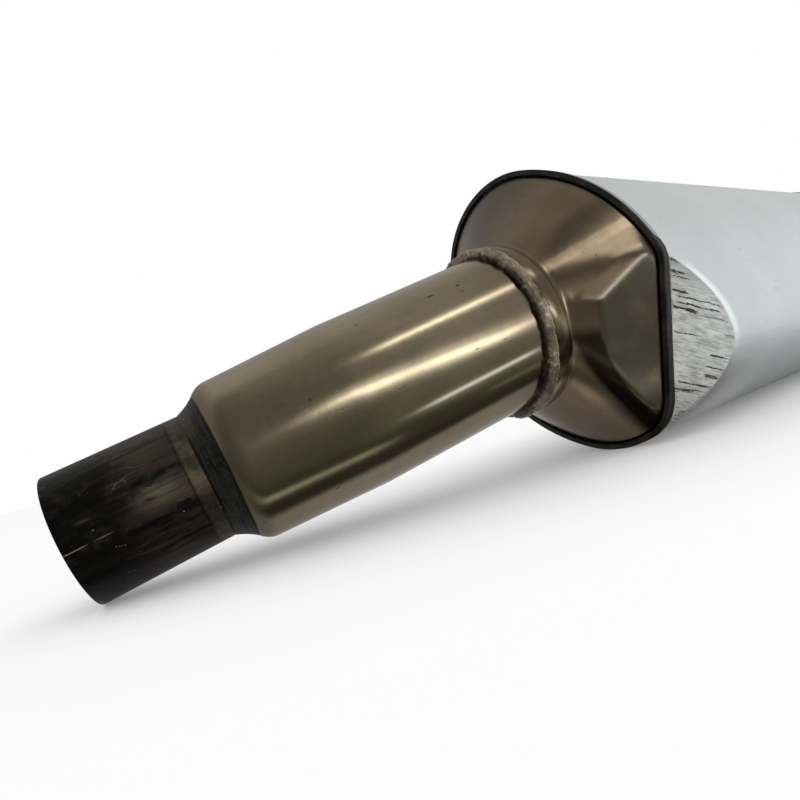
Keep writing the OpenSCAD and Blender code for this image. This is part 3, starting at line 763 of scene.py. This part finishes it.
def cap_levels():
    """Planes that follow the cap from its neck over the cone to the skirt: centre, turn."""
    neck_axis = NECK_TURN @ Vector((1, 0, 0))
    levels = []
    for step in range(NECK_ROWS):
        levels.append((NECK_AT + neck_axis * (NECK_START + step * NECK_STEP), NECK_TURN))
    start, end = levels[-1][0], CAN_AT - CAN_TURN @ Vector((CAP_LIP, 0, 0))
    first, last = NECK_TURN.to_quaternion(), CAN_TURN.to_quaternion()
    for step in range(1, CONE_ROWS + 1):
        part = step / CONE_ROWS
        levels.append((start.lerp(end, part), first.slerp(last, part).to_matrix()))
    for x in SKIRT_ROWS:
        levels.append((CAN_AT + CAN_TURN @ Vector((x, 0, 0)), CAN_TURN))
    return levels


def off_the_creases(point):
    """Whether a place of the front cap is clear of its creased corner."""
    local = CAN_TURN.transposed() @ (point - CAN_AT)
    return crease_depth(local.x, toward_corner(local.y, local.z)) > CREASE_CLEAR


def cap_skin(segments, soften):
    """Skin of the front cap: a ring swept from neck to skirt and laid on the CAD surface."""
    depsgraph = bpy.context.evaluated_depsgraph_get()
    tree = BVHTree.FromObject(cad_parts["front_cap"], depsgraph)
    shape = bmesh.new()
    ring = bmesh.ops.create_circle(shape, segments=segments, radius=1.0)["verts"]
    edges = shape.edges[:]
    rows = []
    for number, (centre, turn) in enumerate(cap_levels()):
        if number:
            made = bmesh.ops.extrude_edge_only(shape, edges=edges)["geom"]
            ring = [v for v in made if isinstance(v, bmesh.types.BMVert)]
            edges = [e for e in made if isinstance(e, bmesh.types.BMEdge)]
        for index, vertex in enumerate(ring):
            angle = 2 * math.pi * index / segments
            way = turn @ Vector((0, math.cos(angle), math.sin(angle)))
            vertex.co = reach_in(tree, centre, way)
        rows.append(ring)
    inner = [v for ring in rows[1 : -len(SKIRT_ROWS)] for v in ring]
    rows = rows[NECK_ROWS + 3 : -len(SKIRT_ROWS) - 1]
    cone = [v for ring in rows for v in ring if off_the_creases(v.co)]
    axes = {"use_axis_x": True, "use_axis_y": True, "use_axis_z": True}
    for group, rounds in ((inner, soften), (cone, soften * CONE_ROUNDS)):
        for _ in range(rounds):
            bmesh.ops.smooth_vert(shape, verts=group, factor=0.5, **axes)
    bmesh.ops.recalc_face_normals(shape, faces=shape.faces)
    return to_mesh(shape, "front_cap_look")


def wave(values, share):
    """Smooth value between those that stand at equal steps round a ring."""
    spot = share * len(values)
    low = int(spot) % len(values)
    part = spot - int(spot)
    part = part * part * (3 - 2 * part)
    return values[low] * (1 - part) + values[(low + 1) % len(values)] * part


def lumpy_bead(ring_radius, bead_radius, lump):
    """Weld bead round the neck, spun in short steps with a puddle at each one."""
    shape = bmesh.new()
    chance = random.Random(7)
    circle = bmesh.ops.create_circle(shape, segments=20, radius=bead_radius)["verts"]
    bmesh.ops.rotate(shape, verts=circle, matrix=Matrix.Rotation(math.pi / 2, 3, "X"))
    bmesh.ops.translate(shape, verts=circle, vec=(ring_radius, 0, 0))
    outline = shape.verts[:] + shape.edges[:]
    full = {"axis": (0, 0, 1), "cent": (0, 0, 0), "angle": 2 * math.pi, "steps": BEAD_STEPS}
    bmesh.ops.spin(shape, geom=outline, **full)
    bmesh.ops.remove_doubles(shape, verts=shape.verts, dist=MERGE_GAP)
    slow, quick, fine = ([chance.uniform(-1, 1) for _ in range(n)] for n in LUMPS_ROUND)
    for vertex in shape.verts:
        share = math.atan2(vertex.co.y, vertex.co.x) / (2 * math.pi) % 1
        turned = share * 2 * math.pi
        middle = Vector((math.cos(turned), math.sin(turned), 0)) * ring_radius
        out = vertex.co - middle
        side = math.atan2(out.z, out.dot(middle.normalized())) / (2 * math.pi) % 1
        swell = wave(slow, share) * 0.5 + wave(quick, share) * 0.55
        swell += wave(fine, (share * 9 + side * 2.3) % 1) * 0.35
        swell += wave(quick, (share * 3 - side) % 1) * 0.25
        vertex.co = middle + out * (1 + swell * lump / bead_radius)
        vertex.co.z += wave(slow, (share + 0.37) % 1) * lump * 0.6
    bmesh.ops.recalc_face_normals(shape, faces=shape.faces)
    to_neck = Matrix.Translation(NECK_AT) @ NECK_TURN.to_4x4()
    bmesh.ops.transform(shape, matrix=Matrix.Rotation(math.pi / 2, 4, "Y"), verts=shape.verts)
    bmesh.ops.translate(shape, vec=(NECK_START, 0, 0), verts=shape.verts)
    bmesh.ops.transform(shape, matrix=to_neck, verts=shape.verts)
    return to_mesh(shape, "barrel_bead_look")


def length_choice(name, description, default):
    """A length that a user may change."""
    return bpy.props.FloatProperty(
        name=name, description=description, default=default, min=0.0, unit="LENGTH"
    )


def power_choice(name, description, default):
    """A lamp's power that a user may change."""
    return bpy.props.FloatProperty(
        name=name, description=description, default=default, min=0.0, unit="POWER"
    )


def colour_choice(name, description, default):
    """A colour that a user may change."""
    return bpy.props.FloatVectorProperty(
        name=name,
        description=description,
        default=default,
        size=4,
        min=0.0,
        max=1.0,
        subtype="COLOR",
    )


class MufflerSizes(bpy.types.PropertyGroup):
    """Small forms that the solids leave plain."""

    edge_round: length_choice("Edge rounding", "Rounding of cut sheet edges", 0.0003)
    bead_round: length_choice("Bead radius", "Radius of the weld bead on the neck", 0.003)
    bead_lump: length_choice("Bead lumps", "Height of the lumps on the weld bead", 0.0007)
    cap_sheet: length_choice("Cap sheet", "Thickness of the pressed front cap", 0.0014)
    cap_soften: bpy.props.IntProperty(
        name="Cap softening",
        description="Rounds of smoothing over the creases of the front cap",
        default=3,
        min=0,
    )


class MufflerColours(bpy.types.PropertyGroup):
    """Middle tones of the finishes."""

    soot: colour_choice("Soot", "Soot on the inlet pipe", paint(12, 11, 11))
    scale: colour_choice("Bare ring", "Bare steel between soot and weld", paint(84, 74, 64))
    slate: colour_choice("Dark weld", "Weld on the inlet pipe", paint(48, 49, 49))
    barrel: colour_choice("Barrel", "Browned steel of the barrel", paint(157, 147, 125))
    bead: colour_choice("Bead", "Weld bead between barrel and cap", paint(138, 126, 110))
    cap: colour_choice("Cap", "Browned steel of the end caps", paint(140, 126, 106))
    band: colour_choice("Band", "Paint on the end bands", paint(19, 17, 17))
    sleeve: colour_choice("Sleeve", "Aluminium of the sleeve", paint(222, 226, 228))


class StudioLight(bpy.types.PropertyGroup):
    """Lamps and surroundings."""

    key_power: power_choice("Strip lamp", "Power of the long lamp beside the camera", 0.72)
    glow_power: power_choice("Glow", "Power of the wide lamp round the strip lamp", 0.36)
    top_power: power_choice("Top lamp", "Power of the lamp above the muffler", 0.34)
    sky_power: power_choice("Overhead lamp", "Power of the large lamp overhead", 2.2)
    fill_power: power_choice("Fill lamp", "Power of the broad lamp behind the camera", 6.0)
    room_tone: bpy.props.FloatProperty(
        name="Room",
        description="Brightness of the room on the camera's side",
        default=0.4,
        min=0.0,
        max=1.0,
    )


class MUFFLER_OT_inlet(bpy.types.Operator):
    """Dress the inlet pipe and its weld"""

    bl_idname = "muffler.inlet"
    bl_label = "Inlet pipe"

    def execute(self, context):
        sizes, colours = context.scene.muffler_sizes, context.scene.muffler_colours
        pipe = sooted_pipe(tuple(colours.soot), tuple(colours.scale))
        weld = dark_weld(tuple(colours.slate))
        smooth_copy("inlet_pipe", "inlet_pipe_look", pipe, sizes.edge_round)
        smooth_copy("inlet_weld", "inlet_weld_look", weld)
        return {"FINISHED"}


class MUFFLER_OT_barrel(bpy.types.Operator):
    """Dress the barrel and the weld bead behind it"""

    bl_idname = "muffler.barrel"
    bl_label = "Barrel and bead"

    def execute(self, context):
        sizes, colours = context.scene.muffler_sizes, context.scene.muffler_colours
        bronze = barrel_steel(tuple(colours.barrel))
        smooth_copy("barrel_shell", "barrel_look", bronze)
        bead = lumpy_bead(BEAD_RING, sizes.bead_round, sizes.bead_lump)
        steel = bead_steel(tuple(colours.bead))
        as_piece(bead, "barrel_bead_look", steel, ["barrel_weld"])
        return {"FINISHED"}


class MUFFLER_OT_can(bpy.types.Operator):
    """Dress the caps, the bands and the sleeve"""

    bl_idname = "muffler.can"
    bl_label = "Can"

    def execute(self, context):
        sizes, colours = context.scene.muffler_sizes, context.scene.muffler_colours
        cap = cap_steel(tuple(colours.cap))
        band = black_paint(tuple(colours.band), tuple(colours.sleeve))
        mesh = cap_skin(CAP_SEGMENTS, sizes.cap_soften)
        skin = as_piece(mesh, "front_cap_look", cap, ["front_cap"])
        sheet = skin.modifiers.new("sheet", "SOLIDIFY")
        sheet.thickness = sizes.cap_sheet
        sheet.offset = -1.0
        smooth_copy("rear_cap", "rear_cap_look", cap, sharp=14)
        smooth_copy("front_band", "front_band_look", band, BAND_ROUND)
        smooth_copy("rear_band", "rear_band_look", band, BAND_ROUND)
        shell = satin_aluminium(tuple(colours.sleeve))
        edge = sizes.edge_round
        smooth_copy("sleeve", "sleeve_look", shell, edge, sharp=12)
        return {"FINISHED"}


class MUFFLER_OT_rear(bpy.types.Operator):
    """Dress the tail pipe and its weld"""

    bl_idname = "muffler.rear"
    bl_label = "Outlet"

    def execute(self, context):
        tail = plain_metal("tail_steel", paint(148, 144, 136), 0.28)
        bead = bpy.data.materials["bead_steel"]
        smooth_copy("tail_pipe", "tail_pipe_look", tail, TAIL_ROUND)
        smooth_copy("tail_weld", "tail_weld_look", bead)
        return {"FINISHED"}


class MUFFLER_OT_hanger(bpy.types.Operator):
    """Dress the hanger, its welds, the grommet and the bush"""

    bl_idname = "muffler.hanger"
    bl_label = "Hanger"

    def execute(self, context):
        plate = plain_metal("hanger_aluminium", paint(198, 200, 202), 0.34)
        rubber = soft_stuff("grommet_rubber", paint(26, 26, 26), 800, 0.6)
        bush = plain_metal("bush_steel", paint(168, 170, 174), 0.26)
        for part, material, slot, bevel in (
            ("hanger_bracket", plate, "hanger_aluminium", 0.0006),
            ("hanger_weld", plate, "hanger_aluminium", 0.0),
            ("hanger_grommet", rubber, "grommet_rubber", 0.0005),
            ("hanger_bush", bush, "bush_steel", 0.0004),
        ):
            smooth_copy(part, part + "_look", material, bevel)
        return {"FINISHED"}


class MUFFLER_OT_inside(bpy.types.Operator):
    """Give the catalyst, the wool and the inner tubes their finishes"""

    bl_idname = "muffler.inside"
    bl_label = "Inside"

    def execute(self, context):
        sheet = plain_metal("inner_steel", paint(92, 85, 78), 0.4)
        foil = plain_metal("honeycomb_foil", paint(120, 116, 110), 0.5)
        wool = soft_stuff("glass_wool", paint(180, 168, 124), 260, 0.85)
        for node in SHEET_NODES:
            give(node, sheet)
        give("catalyst_brick", foil)
        give("wool_packing", wool)
        return {"FINISHED"}


def area_lamp(name, at, toward, size, power, spin=(1, 0, 0), colour=(1, 1, 1), in_metal=True):
    """Rectangular lamp at a place, facing a point, with its long side along spin."""
    data = bpy.data.lights.new(name, "AREA")
    data.shape = "RECTANGLE"
    data.size, data.size_y = size
    data.energy = power
    data.color = colour
    lamp = put(name, data)
    away = (Vector(at) - Vector(toward)).normalized()
    side = Vector(spin)
    side = (side - away * side.dot(away)).normalized()
    turn = Matrix((side, away.cross(side), away)).transposed()
    lamp.matrix_world = Matrix.Translation(at) @ turn.to_4x4()
    lamp.visible_glossy = in_metal


def hang_lamps(light):
    """Warm strips that the metal reflects, and two large lamps that it doesn't show."""
    top_glow = light.glow_power * TOP_GLOW_SHARE
    for name, at, size, power, spin in (
        ("strip_side", (0.1, -0.984, 0.17), (0.57, 0.1), light.key_power, SIDE_SPIN),
        ("strip_glow", (0.1, -0.99, 0.195), (0.7, 0.3), light.glow_power, SIDE_SPIN),
        ("strip_top", (0.2, -0.68, 0.84), (0.36, 0.06), light.top_power, TOP_SPIN),
        ("top_glow", (0.2, -0.69, 0.85), (0.42, 0.15), top_glow, TOP_SPIN),
    ):
        area_lamp(name, at, STRIP_TARGET, size, power, spin, WARM)
    for name, at, toward, size, power in (
        ("overhead", (0.35, 0.1, 1.2), (0.3, -0.05, 0.0), (1.6, 1.2), light.sky_power),
        ("fill", (0.0, -1.1, 0.6), (0.25, -0.05, 0.05), (1.2, 0.9), light.fill_power),
    ):
        area_lamp(name, at, toward, size, power, in_metal=False)


def surroundings(tone):
    """White for the camera. Metal sees a dim room, paler on its right and behind the muffler."""
    world = bpy.data.worlds.new("studio")
    bpy.context.scene.world = world
    room = Recipe(world)
    ways = room.node("ShaderNodeTexCoord", output="Generated")
    across, depth, height = room.split(ways)
    dim = (tone * 0.5, tone * 0.48, tone * 0.44, 1)
    pale = (tone, tone * 0.97, tone * 0.9, 1)
    walls = room.blend(across.between(-0.4, 0.15), dim, pale)
    walls = room.blend(depth.between(0.0, 0.35), walls, (0.5, 0.49, 0.47, 1))
    walls = room.blend(depth.between(0.5, 0.9), walls, (0.4, 0.39, 0.37, 1))
    walls = room.blend(across.between(0.65, 0.9), walls, (0.84, 0.86, 0.85, 1))
    window = across.between(0.7, 0.85) * depth.between(-0.05, -0.25) * height.between(0.5, 0.3)
    walls = room.blend(window, walls, (0.97, 1.0, 1.0, 1))
    camera = room.node("ShaderNodeLightPath", output="Is Camera Ray")
    colour = room.blend(camera, walls, WHITE)
    shader = room.node("ShaderNodeBackground", inputs={"Color": colour, "Strength": 1.0})
    room.show(shader, "ShaderNodeOutputWorld")


def seen_in_metal(r, x, y):
    """The table top as metal shows it: tones by depth, a dark gap, pale streaks and a far end."""
    stops = []
    for place, tone, blue in TABLE_TONES:
        stops.append((1.0 + RAMP_SCALE * place / 1000, (tone, tone * 0.97, tone * blue, 1)))
    ahead = y + x * TABLE_SLANT
    seen = r.ramp(ahead * RAMP_SCALE + 1.0, *stops)
    gap = x.between(0.115, 0.085) * ahead.between(-0.04, -0.05)
    seen = r.blend(gap * 0.65, seen, (0.05, 0.05, 0.035, 1))
    for slant, place, width, start, full, weight, tone in TABLE_STREAKS:
        streak = (y + x * slant).near(place, width) * x.between(start, full)
        seen = r.blend(streak * weight, seen, tone)
    seen = r.blend(x.between(0.28, 0.36), seen, (0.6, 0.61, 0.6, 1))
    return r.blend(x.between(0.4, 0.6), seen, (0.92, 0.98, 1.0, 1))


def floor_finish():
    """Table top: white with the muffler's shadow for the camera, and its own tones in metal."""
    r = Recipe(bpy.data.materials.new("table_top"))
    here = r.place()
    grain = r.noise(here, 40, 3, 0.5)
    colour = r.ramp(grain, (0.3, (0.8, 0.8, 0.8, 1)), (0.7, (0.83, 0.83, 0.83, 1)))
    matt = r.node("ShaderNodeBsdfDiffuse", inputs={"Color": colour})
    reach = {"Distance": 0.12}
    open_sky = r.node("ShaderNodeAmbientOcclusion", {"samples": 8}, reach, output="AO")
    shadow = r.ramp(open_sky, (0.0, (0.2, 0.2, 0.2, 1)), (0.92, WHITE))
    camera = r.node("ShaderNodeLightPath", output="Is Camera Ray")
    mirror = r.node("ShaderNodeLightPath", output="Is Glossy Ray")
    x, y = r.split(here)[:2]
    white = r.blend(camera, seen_in_metal(r, x, y), WHITE)
    shown = r.blend(1.0, white, shadow, "MULTIPLY")
    glow = r.node("ShaderNodeEmission", inputs={"Color": shown, "Strength": 1.0})
    share = camera * 0.93 + mirror * 0.9
    r.show(r.node("ShaderNodeMixShader", inputs={0: share, 1: matt, 2: glow}))
    return r.owner


def lay_table():
    """Table top under the muffler."""
    shape = bmesh.new()
    bmesh.ops.create_grid(shape, x_segments=1, y_segments=1, size=TABLE_HALF)
    bmesh.ops.translate(shape, vec=(TABLE_MIDDLE, 0, FLOOR_Z), verts=shape.verts)
    table = put("table", to_mesh(shape, "table"))
    table.data.materials.append(floor_finish())


def set_camera():
    """Camera at the photograph's viewing angle."""
    lens = bpy.data.cameras.new("photo_camera")
    lens.sensor_width = 36.0
    lens.lens = lens.sensor_width * FOCAL_PIXELS / PHOTO_PIXELS
    lens.clip_start = 0.01
    camera = put("photo_camera", lens)
    back = -CAMERA_AHEAD.normalized()
    up = -CAMERA_DOWN
    up = (up - back * up.dot(back)).normalized()
    turn = Matrix((up.cross(back), up, back)).transposed()
    camera.matrix_world = Matrix.Translation(CAMERA_AT) @ turn.to_4x4()
    bpy.context.scene.camera = camera


class MUFFLER_OT_stage(bpy.types.Operator):
    """Set the table, the lamps, the surroundings and the camera"""

    bl_idname = "muffler.stage"
    bl_label = "Stage"

    def execute(self, context):
        light = context.scene.muffler_light
        lay_table()
        surroundings(light.room_tone)
        hang_lamps(light)
        set_camera()
        context.scene.view_settings.view_transform = "Standard"
        return {"FINISHED"}


OPERATORS = (
    MUFFLER_OT_inlet,
    MUFFLER_OT_barrel,
    MUFFLER_OT_can,
    MUFFLER_OT_rear,
    MUFFLER_OT_hanger,
    MUFFLER_OT_inside,
    MUFFLER_OT_stage,
)


class MUFFLER_PT_panel(bpy.types.Panel):
    """Lists the muffler's pieces and sizes"""

    bl_idname = "MUFFLER_PT_panel"
    bl_label = "Muffler"
    bl_space_type = "VIEW_3D"
    bl_region_type = "UI"
    bl_category = "Muffler"

    def draw(self, context):
        scene = context.scene
        for operator in OPERATORS:
            self.layout.operator(operator.bl_idname)
        for group in (scene.muffler_sizes, scene.muffler_colours, scene.muffler_light):
            for name in group.__annotations__:
                self.layout.prop(group, name)


CLASSES = (MufflerSizes, MufflerColours, StudioLight, *OPERATORS, MUFFLER_PT_panel)


def register():
    for made in CLASSES:
        bpy.utils.register_class(made)
    bpy.types.Scene.muffler_sizes = bpy.props.PointerProperty(type=MufflerSizes)
    bpy.types.Scene.muffler_colours = bpy.props.PointerProperty(type=MufflerColours)
    bpy.types.Scene.muffler_light = bpy.props.PointerProperty(type=StudioLight)


def unregister():
    del bpy.types.Scene.muffler_light
    del bpy.types.Scene.muffler_colours
    del bpy.types.Scene.muffler_sizes
    for made in reversed(CLASSES):
        bpy.utils.unregister_class(made)


def main():
    register()
    for operator in OPERATORS:
        group, name = operator.bl_idname.split(".")
        getattr(getattr(bpy.ops, group), name)()


if __name__ == "__main__":
    main()
